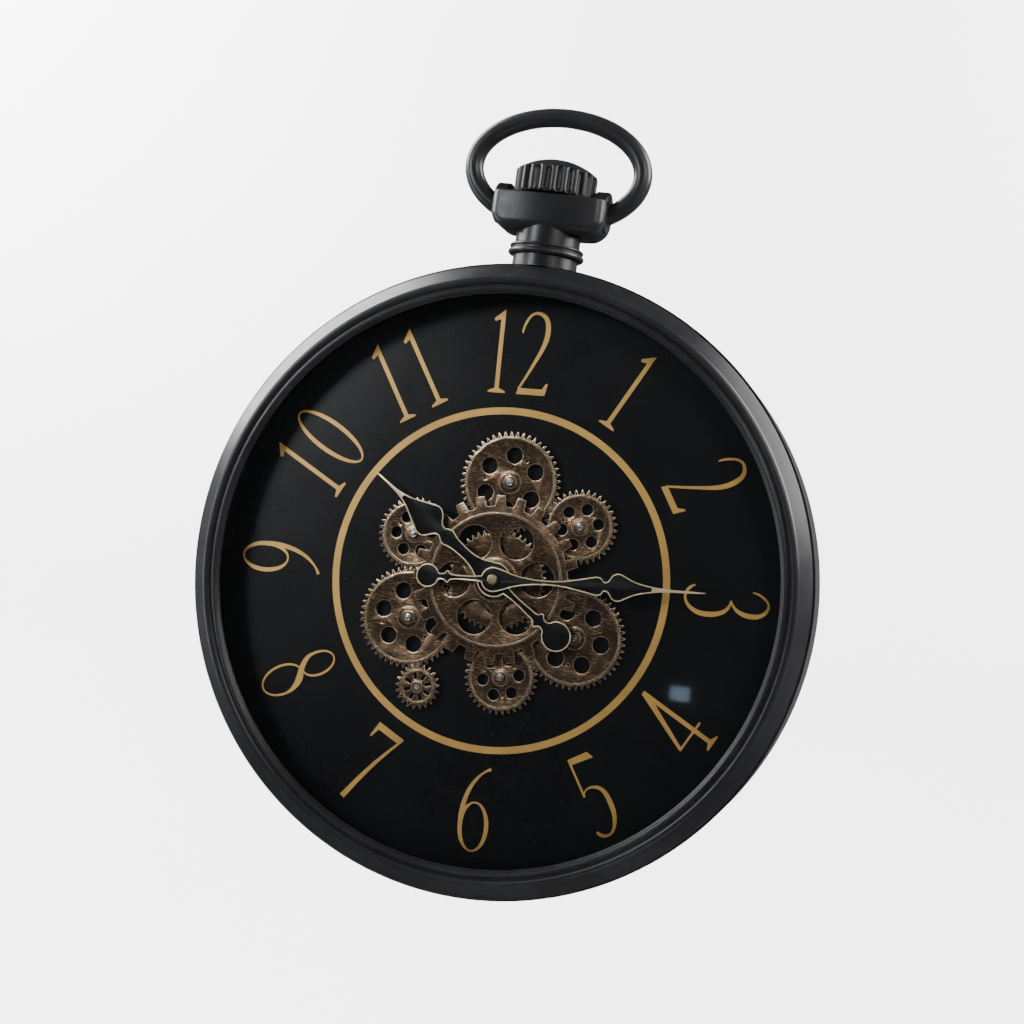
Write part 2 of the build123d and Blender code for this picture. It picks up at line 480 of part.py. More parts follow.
YOKE_W, YOKE_BOTTOM = 96.0, 289.0
LUG_R, LUG_Z = 17.0, 312.5
STUD_R = 4.0
side_x, side_y, front_y = YOKE_W / 2, 21.0, 28.0
plan = make_face([ThreePointArc((-side_x, -side_y), (0, -front_y), (side_x, -side_y)),
                  Line((side_x, -side_y), (side_x, side_y)),
                  ThreePointArc((side_x, side_y), (0, front_y), (-side_x, side_y)),
                  Line((-side_x, side_y), (-side_x, -side_y))])
yoke = extrude(Pos(0, -CROWN_DEPTH, YOKE_BOTTOM) * plan, YOKE_TOP - YOKE_BOTTOM)
yoke = fillet(yoke.edges().filter_by(Axis.Z), 10.0)
front_outline = at(CROWN_DEPTH - 40.0, 0, YOKE_BOTTOM + 24.0) * RectangleRounded(YOKE_W, 48.0, 16.0)
yoke = yoke & extrude(front_outline, 80.0)
lower_edges = [edge for edge in yoke.edges() if edge.bounding_box().max.Z < YOKE_TOP - 0.1
               and abs(edge.tangent_at(0.5).Y) < 0.999]
yoke = fillet(lower_edges, 8.0)
yoke = fillet(yoke.faces().sort_by(Axis.Z)[-1].edges(), 1.5)
for side in (-1, 1):
    lug = Pos(side * (side_x - 6.0), -CROWN_DEPTH, LUG_Z) * Rot(0, 90, 0) * Cylinder(LUG_R, 12.0)
    yoke += fillet(lug.edges().filter_by(GeomType.CIRCLE), 1.8)
yoke -= Pos(0, -CROWN_DEPTH, 280.0) * Cylinder(NECK_R, 32.0)
yoke -= Pos(0, -CROWN_DEPTH, 300.0) * Cylinder(STEM_R, 80.0)
for side in (-1, 1):
    yoke -= Pos(side * 42.5, -CROWN_DEPTH, BOW_PIVOT_Z) * Rot(0, 90, 0) * Cylinder(STUD_R + RUN_CLEAR, 13.0)
save("crown_yoke", yoke)

CROWN_R, KNOB_TOP = 34.2, 341.5
knob_base = YOKE_TOP + 0.6
crown = crown_turned([(STEM_R, knob_base), (33.0, knob_base), (CROWN_R, knob_base + 1.2),
                      (CROWN_R, KNOB_TOP - 1.2), (33.2, KNOB_TOP), (STEM_R, KNOB_TOP)])
for x, y in ring_places(CROWN_R + 1.9, 22, 4.0):
    crown -= Pos(x, y - CROWN_DEPTH, 333) * Cylinder(3.4, 30)
save("crown_knob", crown)
CAP_R, CAP_RISE = 32.9, 10.5
dome_r = (CAP_R ** 2 + CAP_RISE ** 2) / (2 * CAP_RISE)
dome = Pos(0, -CROWN_DEPTH, KNOB_TOP + CAP_RISE - dome_r) * Sphere(dome_r)
dome = dome & (Pos(0, -CROWN_DEPTH, KNOB_TOP + 10.0) * Box(80, 80, 20.0))
save("crown_cap", dome)

BOW_HALF_W, BOW_HALF_H, BOW_CENTRE_Z, BOW_R = 72.0, 44.6, 343.6, 7.8
BOW_GAP = YOKE_W / 2 + 0.4
bow_plane = Plane(origin=(0, -CROWN_DEPTH, 0), x_dir=(1, 0, 0), z_dir=(0, -1, 0))
bow_path = bow_plane * EllipticalCenterArc((0, BOW_CENTRE_Z), BOW_HALF_W, BOW_HALF_H,
                                           start_angle=-50, arc_size=280)
bow_section = Plane(origin=bow_path @ 0, z_dir=bow_path % 0) * Circle(BOW_R)
bow = sweep(bow_section, path=bow_path)
bow -= Pos(0, -CROWN_DEPTH, BOW_PIVOT_Z) * Box(2 * BOW_GAP, 40, 60)
for side in (-1, 1):
    stud = Pos(side * (BOW_GAP - 5.0), -CROWN_DEPTH, BOW_PIVOT_Z) * Rot(0, 90, 0)
    bow += stud * Cylinder(STUD_R, 14.0)
save("bow_ring", bow)
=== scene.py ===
"""Looks of a wall clock shaped like a giant pocket watch: case, glass, dial, gears, hands, crown and bow.

Metres, X to 3 o'clock, Z to 12 o'clock, Y into the wall. A depth is a distance in front of the wall.
"""
import json
import math

import bmesh
import bpy
import numpy as np
from mathutils import Matrix, Vector


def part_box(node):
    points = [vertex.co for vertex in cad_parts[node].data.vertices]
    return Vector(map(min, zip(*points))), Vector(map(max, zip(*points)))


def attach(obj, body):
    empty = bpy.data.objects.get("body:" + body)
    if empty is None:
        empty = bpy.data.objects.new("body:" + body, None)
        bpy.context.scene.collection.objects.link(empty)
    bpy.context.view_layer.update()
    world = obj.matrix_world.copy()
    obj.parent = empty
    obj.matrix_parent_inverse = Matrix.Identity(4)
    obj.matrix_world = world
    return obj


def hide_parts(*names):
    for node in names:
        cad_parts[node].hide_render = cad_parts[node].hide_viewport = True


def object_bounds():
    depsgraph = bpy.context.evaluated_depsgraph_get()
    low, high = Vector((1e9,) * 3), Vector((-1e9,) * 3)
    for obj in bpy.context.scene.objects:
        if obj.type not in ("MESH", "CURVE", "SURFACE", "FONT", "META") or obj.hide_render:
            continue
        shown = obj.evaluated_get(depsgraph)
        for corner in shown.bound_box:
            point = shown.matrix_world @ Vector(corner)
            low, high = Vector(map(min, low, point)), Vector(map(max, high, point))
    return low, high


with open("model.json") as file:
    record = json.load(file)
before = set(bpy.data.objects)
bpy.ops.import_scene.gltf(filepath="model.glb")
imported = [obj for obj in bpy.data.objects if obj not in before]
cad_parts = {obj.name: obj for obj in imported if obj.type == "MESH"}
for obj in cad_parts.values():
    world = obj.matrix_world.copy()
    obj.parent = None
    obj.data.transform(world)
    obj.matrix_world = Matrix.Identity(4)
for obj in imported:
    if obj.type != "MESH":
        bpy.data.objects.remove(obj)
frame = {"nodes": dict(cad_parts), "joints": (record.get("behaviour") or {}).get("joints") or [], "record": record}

CAD_BOX = [list(corner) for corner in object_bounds()]
JOINTS = {joint["name"]: joint for joint in frame["joints"]}
MM = 0.001

bl_info = {
    "name": "Gear wall clock",
    "version": (1, 0, 0),
    "blender": (4, 5, 0),
    "location": "View3D > Sidebar > Gear Clock",
    "description": "Finished surfaces and studio for a pocket watch shaped gear clock",
    "category": "Object",
}


# ------------------------------------------------------------------ settings
def length(name, description, default, low=0.0, high=1.0):
    return bpy.props.FloatProperty(name=name, description=description, default=default, min=low, max=high,
                                   subtype="DISTANCE", unit="LENGTH", precision=4)


def tone(name, description, default):
    return bpy.props.FloatVectorProperty(name=name, description=description, default=default, size=3,
                                         min=0.0, max=1.0, subtype="COLOR")


def count(name, description, default, low=3, high=2048):
    return bpy.props.IntProperty(name=name, description=description, default=default, min=low, max=high)


class ClockSizes(bpy.types.PropertyGroup):
    """Sizes of the finished surfaces; places come from the frame."""
    round_steps: count("Case steps", "Faces round the case and bezel", 384)
    small_steps: count("Small steps", "Faces round the crown, neck and collar", 176)
    tube_steps: count("Tube steps", "Faces round the bow's section", 40)
    gear_bevel: length("Gear edge", "Width of the broken edges of the gears", 0.00028)
    fine_bevel: length("Fine edge", "Width of the broken edges of hands, screws and covers", 0.00012)
    yoke_bevel: length("Yoke edge", "Width of the broken edges of the yoke", 0.0009)
    flute_count: count("Flutes", "Grooves round the crown", 22)
    flute_depth: length("Flute depth", "Depth of a groove in the crown", 0.0032)
    view_distance: length("View distance", "From the camera to the dial", 1.5, 0.5, 5.0)


class ClockColours(bpy.types.PropertyGroup):
    """Base colours of the finishes."""
    enamel: tone("Case enamel", "Satin black of the case", (0.0072, 0.0073, 0.0080))
    dial: tone("Dial enamel", "Gloss black of the dial", (0.0042, 0.0044, 0.0050))
    gold: tone("Gold", "Numerals and dial ring", (0.80, 0.475, 0.115))
    bronze: tone("Bronze", "Body colour of the gears", (0.078, 0.048, 0.026))
    copper: tone("Copper edge", "Rubbed edges and high spots of the gears", (0.56, 0.35, 0.18))
    patina: tone("Patina", "Dark smudges on the gears", (0.016, 0.011, 0.007))
    trim: tone("Hand edge", "Pale gold edge of the hands", (1.0, 0.84, 0.55))
    backdrop: tone("Backdrop", "Studio paper", (0.93, 0.93, 0.93))


def sizes():
    return bpy.context.scene.clock_sizes


def colours():
    return bpy.context.scene.clock_colours


# ------------------------------------------------------------------ mesh helpers
def new_object(name, mesh):
    piece = bpy.data.objects.new(name, mesh)
    bpy.context.scene.collection.objects.link(piece)
    return piece


def grid_surface(name, points, wrap_rows, wrap_columns, cap_rows=False):
    """A mesh through a grid of points, rows by columns; it may close on itself either way, and the first
    and last row may each be closed by one flat face."""
    rows, columns = points.shape[:2]
    index = np.arange(rows * columns).reshape(rows, columns)
    ahead = np.roll(index, -1, axis=0)
    if not wrap_rows:
        index, ahead = index[:-1], ahead[:-1]
    right, ahead_right = np.roll(index, -1, axis=1), np.roll(ahead, -1, axis=1)
    if not wrap_columns:
        index, ahead, right, ahead_right = (a[:, :-1] for a in (index, ahead, right, ahead_right))
    faces = np.stack([index, right, ahead_right, ahead], axis=-1).reshape(-1, 4).tolist()
    if cap_rows:
        faces.append(list(range(columns))[::-1])
        faces.append(list(range((rows - 1) * columns, rows * columns)))
    mesh = bpy.data.meshes.new(name)
    mesh.from_pydata(points.reshape(-1, 3), [], faces)
    mesh.update()
    return face_outwards(new_object(name, mesh))


def face_outwards(piece):
    work = bmesh.new()
    work.from_mesh(piece.data)
    bmesh.ops.remove_doubles(work, verts=work.verts, dist=1e-7)
    bmesh.ops.recalc_face_normals(work, faces=work.faces)
    if work.calc_volume(signed=True) < 0:
        bmesh.ops.reverse_faces(work, faces=work.faces)
    work.to_mesh(piece.data)
    work.free()
    return piece


def smooth(piece, sharp_degrees=40.0):
    """Smooth faces, with edges sharper than the angle kept as edges of the shading."""
    piece.data.shade_smooth()
    piece.data.set_sharp_from_angle(angle=math.radians(sharp_degrees))
    return piece


def weighted(piece):
    finish = piece.modifiers.new("Even shading", "WEIGHTED_NORMAL")
    finish.keep_sharp = True
    return piece


def softened(points, radius, steps=4):
    """A closed outline whose corners are replaced by short quadratic curves that start radius away."""
    points = np.asarray(points, float)
    before, after = np.roll(points, 1, axis=0), np.roll(points, -1, axis=0)
    to_before, to_after = before - points, after - points
    run_before = np.linalg.norm(to_before, axis=1, keepdims=True)
    run_after = np.linalg.norm(to_after, axis=1, keepdims=True)
    start = points + to_before * np.minimum(radius / run_before, 0.45)
    end = points + to_after * np.minimum(radius / run_after, 0.45)
    t = np.linspace(0, 1, steps + 1)[None, :, None]
    curve = (1 - t) ** 2 * start[:, None] + 2 * t * (1 - t) * points[:, None] + t ** 2 * end[:, None]
    return curve.reshape(-1, 2)


def arc(start, middle, end, steps=12):
    """Points on the circle through three points, from the first to the last, both included."""
    (ax, ay), (bx, by), (cx, cy) = start, middle, end
    d = 2 * (ax * (by - cy) + bx * (cy - ay) + cx * (ay - by))
    ux = ((ax**2 + ay**2) * (by - cy) + (bx**2 + by**2) * (cy - ay) + (cx**2 + cy**2) * (ay - by)) / d
    uy = ((ax**2 + ay**2) * (cx - bx) + (bx**2 + by**2) * (ax - cx) + (cx**2 + cy**2) * (bx - ax)) / d
    a0, a1, a2 = (math.atan2(y - uy, x - ux) for x, y in (start, middle, end))
    sweep = (a2 - a0) % (2 * math.pi)
    if (a1 - a0) % (2 * math.pi) > sweep:
        sweep -= 2 * math.pi
    angles = a0 + np.linspace(0, sweep, steps + 1)
    radius = math.hypot(ax - ux, ay - uy)
    return [(ux + radius * math.cos(a), uy + radius * math.sin(a)) for a in angles]


def spindle_turned(name, outline_mm, steps):
    """A closed outline of (radius, depth) turned round the spindle: x = r cos a, y = -depth, z = r sin a."""
    outline = np.asarray(outline_mm, float) * MM
    angles = np.linspace(0, 2 * math.pi, steps, endpoint=False)
    r, depth = outline[:, 0][None, :], outline[:, 1][None, :]
    points = np.stack([r * np.cos(angles)[:, None], -depth + 0 * angles[:, None],
                       r * np.sin(angles)[:, None]], axis=-1)
    return grid_surface(name, points, True, True)


def crown_turned(name, outline, steps, axis_y, radius_change=None):
    """An open outline of (radius, height), closed at both ends by a flat face, turned round the crown's
    upright axis; radius_change(angle, height) is added to the radius."""
    outline = np.asarray(outline, float)
    angles = np.linspace(0, 2 * math.pi, steps, endpoint=False)[None, :]
    r, z = outline[:, 0][:, None] + 0 * angles, outline[:, 1][:, None] + 0 * angles
    if radius_change:
        r = r + radius_change(angles, z)
    points = np.stack([r * np.cos(angles), axis_y + r * np.sin(angles), z], axis=-1)
    return grid_surface(name, points, False, True, cap_rows=True)


def body_of_node(node):
    return next(body for body, nodes in frame["record"]["behaviour"]["bodies"].items() if node in nodes)


def settle(piece, node, material):
    """Gives a piece its finish, its body and the CAD node that it stands for."""
    piece.data.materials.clear()
    piece.data.materials.append(material)
    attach(piece, body_of_node(node))
    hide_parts(node)
    return piece


def broken_edges(node, name, width, material, sharp_degrees=32.0, steps=2):
    """A copy of a CAD node with its triangles merged, its flat faces joined and its edges rounded."""
    mesh = frame["nodes"][node].data.copy()
    mesh.name = name
    work = bmesh.new()
    work.from_mesh(mesh)
    bmesh.ops.remove_doubles(work, verts=work.verts, dist=2e-6)
    bmesh.ops.dissolve_limit(work, angle_limit=math.radians(0.6), verts=work.verts, edges=work.edges)
    work.to_mesh(mesh)
    work.free()
    piece = new_object(name, mesh)
    mesh.shade_smooth()
    edge = piece.modifiers.new("Broken edges", "BEVEL")
    edge.width = width
    edge.segments = steps
    edge.limit_method = "ANGLE"
    edge.angle_limit = math.radians(sharp_degrees)
    edge.harden_normals = True
    edge.use_clamp_overlap = True
    return settle(piece, node, material)


# ------------------------------------------------------------------ material helpers
class Finish:
    """A small writer for one Principled material with patterns on Object coordinates."""

    def __init__(self, name, colour, roughness, metallic=0.0, centre=(0, 0, 0)):
        self.material = bpy.data.materials.new(name)
        self.material.use_nodes = True
        self.tree = self.material.node_tree
        self.shader = self.tree.nodes["Principled BSDF"]
        self.shader.inputs["Base Color"].default_value = (*colour, 1)
        self.shader.inputs["Roughness"].default_value = roughness
        self.shader.inputs["Metallic"].default_value = metallic
        self.place = self.node("ShaderNodeMapping")
        self.place.vector_type = "TEXTURE"
        self.place.inputs["Location"].default_value = centre
        self.link(self.node("ShaderNodeTexCoord").outputs["Object"], self.place.inputs["Vector"])

    def node(self, kind, **values):
        made = self.tree.nodes.new(kind)
        for key, value in values.items():
            setattr(made, key, value)
        return made

    def link(self, output, socket):
        self.tree.links.new(output, socket)

    def stretched(self, scale, turn=(0, 0, 0)):
        """Coordinates scaled apart along each axis, for brushed lines."""
        made = self.node("ShaderNodeMapping")
        made.inputs["Scale"].default_value = scale
        made.inputs["Rotation"].default_value = [math.radians(a) for a in turn]
        self.link(self.place.outputs["Vector"], made.inputs["Vector"])
        return made.outputs["Vector"]

    def noise(self, scale, detail=4.0, rough=0.55, vector=None, distortion=0.0):
        made = self.node("ShaderNodeTexNoise")
        made.inputs["Scale"].default_value = scale
        made.inputs["Detail"].default_value = detail
        made.inputs["Roughness"].default_value = rough
        made.inputs["Distortion"].default_value = distortion
        self.link(vector or self.place.outputs["Vector"], made.inputs["Vector"])
        return made.outputs["Fac"]

    def span(self, value, low, high, to_low=0.0, to_high=1.0):
        made = self.node("ShaderNodeMapRange", interpolation_type="SMOOTHSTEP")
        for socket, number in zip(("From Min", "From Max", "To Min", "To Max"), (low, high, to_low, to_high)):
            made.inputs[socket].default_value = number
        self.link(value, made.inputs["Value"])
        return made.outputs["Result"]

    def math(self, operation, a, b):
        made = self.node("ShaderNodeMath", operation=operation)
        for socket, value in zip(made.inputs, (a, b)):
            if isinstance(value, (int, float)):
                socket.default_value = value
            else:
                self.link(value, socket)
        return made.outputs["Value"]

    def mix(self, factor, first, second, blend="MIX"):
        made = self.node("ShaderNodeMix", data_type="RGBA", blend_type=blend)
        for socket, value in ((made.inputs[0], factor), (made.inputs[6], first), (made.inputs[7], second)):
            if isinstance(value, (int, float)):
                socket.default_value = value
            elif isinstance(value, (tuple, list)) or hasattr(value, "hsv"):
                socket.default_value = (*value[:3], 1)
            else:
                self.link(value, socket)
        return made.outputs[2]

    def edges(self, radius):
        """1 on rounded or sharp edges and 0 on flats: how far a softened normal leans from the true one."""
        soft = self.node("ShaderNodeBevel", samples=6)
        soft.inputs["Radius"].default_value = radius
        true = self.node("ShaderNodeNewGeometry")
        lean = self.node("ShaderNodeVectorMath", operation="DOT_PRODUCT")
        self.link(soft.outputs["Normal"], lean.inputs[0])
        self.link(true.outputs["Normal"], lean.inputs[1])
        return self.span(lean.outputs["Value"], 0.94, 0.999, 1.0, 0.0)

    def bump(self, height, strength, distance):
        made = self.node("ShaderNodeBump")
        made.inputs["Strength"].default_value = strength
        made.inputs["Distance"].default_value = distance
        self.link(height, made.inputs["Height"])
        self.link(made.outputs["Normal"], self.shader.inputs["Normal"])

    def base(self, colour):
        self.link(colour, self.shader.inputs["Base Color"])

    def rough(self, value):
        self.link(value, self.shader.inputs["Roughness"])


MADE = {}


def once(maker):
    """Keeps one copy of each finish, however many pieces wear it."""
    def finish(*args):
        key = (maker.__name__, *args)
        if key not in MADE:
            MADE[key] = maker(*args)
        return MADE[key]
    return finish


@once
def satin_enamel():
    """Black enamel of the case: fine orange peel, faint handling marks, paler where edges are rubbed."""
    finish = Finish("satin_black_enamel", colours().enamel, 0.34)
    cloud = finish.noise(9.0, 5.0)
    worn = finish.noise(70.0, 6.0, 0.7)
    dark = finish.mix(finish.span(cloud, 0.35, 0.7), colours().enamel, [c * 1.45 for c in colours().enamel])
    rubbed = finish.math("MULTIPLY", finish.edges(0.0009), finish.span(worn, 0.42, 0.62))
    finish.base(finish.mix(finish.math("MULTIPLY", rubbed, 0.45), dark, (0.11, 0.108, 0.105)))
    finish.rough(finish.span(worn, 0.3, 0.75, 0.29, 0.40))
    finish.bump(finish.noise(1400.0, 2.0), 0.10, 0.00008)
    finish.shader.inputs["Specular IOR Level"].default_value = 0.17
    return finish.material


@once
def gloss_dial():
    """Black dial enamel with a soft cloudiness and a few grains of dust under the glass."""
    finish = Finish("gloss_black_dial", colours().dial, 0.3)
    cloud = finish.noise(6.0, 6.0, 0.6)
    grain = finish.noise(900.0, 2.0)
    dust = finish.span(grain, 0.74, 0.80, 0.0, 0.25)
    shade = finish.mix(finish.span(cloud, 0.3, 0.75), colours().dial, [c * 1.7 for c in colours().dial])
    finish.base(finish.mix(dust, shade, (0.10, 0.10, 0.10)))
    finish.rough(finish.span(cloud, 0.3, 0.7, 0.26, 0.31))
    finish.bump(finish.noise(260.0, 2.0), 0.04, 0.00004)
    finish.shader.inputs["Specular IOR Level"].default_value = 0.35
    return finish.material


@once
def satin_gold():
    """Gold numerals and ring: fine brushed grain with slightly darker patches."""
    finish = Finish("satin_gold", colours().gold, 0.42, 0.25)
    brushed = finish.noise(160.0, 3.0, vector=finish.stretched((1, 1, 14)))
    patch = finish.noise(22.0, 4.0)
    warm = finish.mix(finish.span(patch, 0.35, 0.68), colours().gold, [c * 0.80 for c in colours().gold])
    finish.base(finish.mix(finish.span(brushed, 0.35, 0.7, 0.0, 0.22), warm, (0.92, 0.62, 0.24)))
    finish.rough(finish.span(brushed, 0.3, 0.7, 0.36, 0.50))
    finish.bump(brushed, 0.12, 0.00006)
    return finish.material


@once
def old_bronze(gear, turn):
    """Antique bronze of one gear: straight brushing, coppery rubbed edges, dark smudges in patches."""
    lo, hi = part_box(gear)
    finish = Finish(f"old_bronze_{gear}", colours().bronze, 0.42, 0.72, (lo + hi) / 2)
    brushed = finish.noise(620.0, 3.0, 0.6, finish.stretched((1, 1, 12), (0, turn, 0)))
    streak = finish.noise(230.0, 5.0, 0.7, finish.stretched((1, 1, 6), (0, turn + 6, 0)))
    smudge = finish.noise(38.0, 5.0, 0.6)
    pits = finish.noise(520.0, 3.0, 0.6)
    # Edge mask for a near-white copper line on every edge: a painted highlight as well as rubbed wear; the pits
    # noise only dims it a little
    edge = finish.math("MULTIPLY", finish.edges(0.0013), finish.span(pits, 0.30, 0.55, 0.6, 1.0))
    worn = finish.math("MULTIPLY", finish.span(streak, 0.50, 0.64), finish.span(smudge, 0.62, 0.42, 0.25, 1.0))
    body = finish.mix(worn, colours().bronze, colours().copper)
    body = finish.mix(finish.span(smudge, 0.46, 0.64, 0.0, 0.62), body, colours().patina)
    body = finish.mix(finish.span(brushed, 0.54, 0.72, 0.0, 0.55), body, colours().copper)
    body = finish.mix(finish.span(brushed, 0.34, 0.48, 0.70, 0.0), body, colours().patina)
    # Painted highlight: the edge mask turns the colour near-white copper
    finish.base(finish.mix(edge, body, (1.0, 0.76, 0.50)))
    dull = finish.span(smudge, 0.4, 0.7, 0.32, 0.48)
    finish.rough(finish.math("SUBTRACT", dull, finish.math("MULTIPLY", edge, 0.10)))
    finish.bump(finish.math("ADD", brushed, finish.math("MULTIPLY", pits, 0.6)), 0.32, 0.00014)
    return finish.material


@once
def turned_brass():
    """Turned brass of bushes, tube and nut."""
    finish = Finish("turned_brass", (0.66, 0.50, 0.27), 0.30, 0.9)
    lines = finish.noise(900.0, 3.0, vector=finish.stretched((0.1, 6, 0.1)))
    finish.base(finish.mix(finish.span(lines, 0.3, 0.7), (0.60, 0.45, 0.24), (0.76, 0.62, 0.38)))
    finish.rough(finish.span(lines, 0.3, 0.7, 0.24, 0.38))
    finish.bump(lines, 0.1, 0.00005)
    return finish.material


@once
def hand_enamel():
    """Semi-gloss black of the hands."""
    finish = Finish("hand_black", (0.008, 0.008, 0.009), 0.34)
    cloud = finish.noise(60.0, 4.0)
    finish.base(finish.mix(finish.span(cloud, 0.3, 0.7), (0.0065, 0.0065, 0.0075), (0.013, 0.013, 0.014)))
    finish.rough(finish.span(cloud, 0.3, 0.7, 0.30, 0.42))
    finish.bump(finish.noise(1300.0, 2.0), 0.06, 0.00005)
    finish.shader.inputs["Specular IOR Level"].default_value = 0.12
    return finish.material


@once
def pale_gold_edge():
    """Pale plated edge of the hands, with slight warm toning along its length."""
    finish = Finish("pale_gold_edge", colours().trim, 0.34, 0.35)
    toning = finish.noise(45.0, 4.0)
    warm = [c * f for c, f in zip(colours().trim, (0.86, 0.76, 0.60))]
    finish.base(finish.mix(finish.span(toning, 0.42, 0.72), colours().trim, warm))
    finish.rough(finish.span(toning, 0.3, 0.7, 0.28, 0.40))
    finish.bump(finish.noise(1500.0, 2.0), 0.08, 0.00004)
    return finish.material


@once
def bright_steel():
    """Zinc plated screws and washers with fine turning marks and a little grey bloom."""
    finish = Finish("bright_steel", (0.62, 0.62, 0.62), 0.28, 0.95)
    bloom = finish.noise(240.0, 4.0)
    finish.base(finish.mix(finish.span(bloom, 0.42, 0.7), (0.70, 0.69, 0.67), (0.36, 0.34, 0.31)))
    finish.rough(finish.span(bloom, 0.35, 0.7, 0.22, 0.42))
    finish.bump(finish.noise(1500.0, 3.0), 0.12, 0.00005)
    return finish.material


@once
def moulded(name, r, g, b, gloss):
    """Moulded plastic: slight colour drift and a fine spark-eroded texture."""
    finish = Finish(f"moulded_{name}", (r, g, b), gloss)
    drift = finish.noise(30.0, 3.0)
    finish.base(finish.mix(finish.span(drift, 0.3, 0.7), (r, g, b), (r * 1.2, g * 1.2, b * 1.2)))
    finish.rough(finish.span(drift, 0.3, 0.7, gloss - 0.05, gloss + 0.06))
    finish.bump(finish.noise(1600.0, 2.0), 0.25, 0.00008)
    return finish.material


@once
def coated_steel(name, shade, gloss):
    """Powder coated sheet steel: fine pebbled skin with a few faint scuffs."""
    finish = Finish(f"coated_steel_{name}", (shade, shade, shade * 1.06), gloss)
    scuff = finish.noise(40.0, 6.0, 0.7, finish.stretched((1, 1, 5), (0, 35, 0)))
    pale = (shade * 2.1, shade * 2.1, shade * 2.2)
    finish.base(finish.mix(finish.span(scuff, 0.58, 0.78, 0.0, 0.5), (shade, shade, shade * 1.06), pale))
    finish.rough(finish.span(scuff, 0.3, 0.75, gloss + 0.05, gloss - 0.06))
    finish.bump(finish.noise(1100.0, 3.0), 0.35, 0.0001)
    return finish.material


@once
def clear_glass():
    """Clear front glass: see-through, with a mirror sheen that grows towards grazing view."""
    finish = Finish("clear_glass", (0.95, 0.97, 1.0), 0.03, 1.0)
    smear = finish.noise(5.0, 5.0, 0.7)
    finish.rough(finish.span(smear, 0.4, 0.8, 0.03, 0.07))
    clear = finish.node("ShaderNodeBsdfTransparent")
    sheen = finish.node("ShaderNodeFresnel")
    sheen.inputs["IOR"].default_value = 1.40
    blend = finish.node("ShaderNodeMixShader")
    finish.link(sheen.outputs["Fac"], blend.inputs["Fac"])
    finish.link(clear.outputs["BSDF"], blend.inputs[1])
    finish.link(finish.shader.outputs["BSDF"], blend.inputs[2])
    finish.link(blend.outputs["Shader"], finish.tree.nodes["Material Output"].inputs["Surface"])
    return finish.material


@once
def studio_paper():
    """Seamless white paper of the studio."""
    finish = Finish("studio_paper", colours().backdrop, 0.9)
    fibre = finish.noise(3.0, 3.0)
    tint = [c * 0.985 for c in colours().backdrop]
    finish.base(finish.mix(finish.span(fibre, 0.3, 0.7), colours().backdrop, tint))
    return finish.material


# ------------------------------------------------------------------ pieces
def build_case():
    """Drum, bezel and the dark wall between dial and glass, all turned round the spindle."""
    steps = sizes().round_steps
    drum = [(257, 0), (260, 0), (260, 62), (246, 62), (246, 59), (257, 59), (257, 42), (248.5, 42),
            (248.5, 38), (257, 38), (257, 6), (244, 6), (244, 3), (257, 3)]
    piece = spindle_turned("case_drum_finished", softened(drum, 0.5, 3), steps)
    settle(weighted(smooth(piece, 60)), "case_drum", satin_enamel())
    bezel = [(238, 62), (258, 62), (258, 64.9), (257.6, 65.6), (248.9, 73.5)]
    bezel += arc((248.2, 74.0), (244.6, 76.2), (241.0, 74.2), 14)
    bezel += [(240.6, 73.9), (239.7, 73.9)]
    bezel += arc((239.3, 74.2), (237.2, 76.5), (235.5, 74.4), 12)
    bezel += [(233.9, 72.8), (233.6, 72.3), (233.6, 70.2), (238, 70.2)]
    piece = spindle_turned("front_bezel_finished", bezel, steps)
    settle(weighted(smooth(piece, 50)), "front_bezel", satin_enamel())
    wall = softened([(240.5, 45), (243, 45), (243, 62), (240.5, 62)], 0.25, 2)
    piece = spindle_turned("dial_shroud_finished", wall, steps)
    settle(weighted(smooth(piece, 60)), "dial_shroud", coated_steel("inner", 0.012, 0.5))
    spring = softened([(234.8, 65.2), (237.9, 65.2), (237.9, 67.4), (234.8, 67.4)], 0.3, 2)
    piece = spindle_turned("glass_spring_ring_finished", spring, steps)
    settle(weighted(smooth(piece, 60)), "glass_spring_ring", coated_steel("spring", 0.012, 0.45))


def build_glass():
    """Front glass: a flat disc with a ground edge, closed at its centre."""
    steps = sizes().round_steps
    lo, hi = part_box("front_glass")
    r, back, front = hi.x / MM, -hi.y / MM, -lo.y / MM
    outline = [(0.0, back), (r - 0.4, back), (r, back + 0.4), (r, front - 0.4), (r - 0.4, front), (0.0, front)]
    angles = np.linspace(0, 2 * math.pi, steps, endpoint=False)[:, None]
    ring = np.asarray(outline)[1:-1] * MM
    points = np.stack([ring[:, 0] * np.cos(angles), -ring[:, 1] + 0 * angles, ring[:, 0] * np.sin(angles)], -1)
    piece = grid_surface("front_glass_finished", points.transpose(1, 0, 2), False, True, cap_rows=True)
    settle(smooth(piece, 30), "front_glass", clear_glass())


def dress(node, material):
    frame["nodes"][node].data.materials.clear()
    frame["nodes"][node].data.materials.append(material)


def build_dial():
    dress("dial_board", gloss_dial())
    dress("dial_ring", satin_gold())
    dress("hour_numerals", satin_gold())


GEAR_BRUSHING = {"great_gear": 62, "centre_gear": 20, "top_gear": 84, "left_gear": 35, "right_gear": 50,
                 "upper_right_gear": 68, "bottom_gear": 110, "upper_left_gear": 58, "drive_pinion": 15}


def build_gears():
    for gear, turn in GEAR_BRUSHING.items():
        broken_edges(gear, f"{gear}_finished", sizes().gear_bevel, old_bronze(gear, turn))
    broken_edges("gear_screws", "gear_screws_finished", sizes().fine_bevel, bright_steel())
    broken_edges("gear_washers", "gear_washers_finished", sizes().fine_bevel, old_bronze("gear_washers", 30))
    dress("gear_posts", coated_steel("spring", 0.012, 0.45))
    for node in ("centre_bush", "centre_tube", "movement_nut"):
        dress(node, turned_brass())


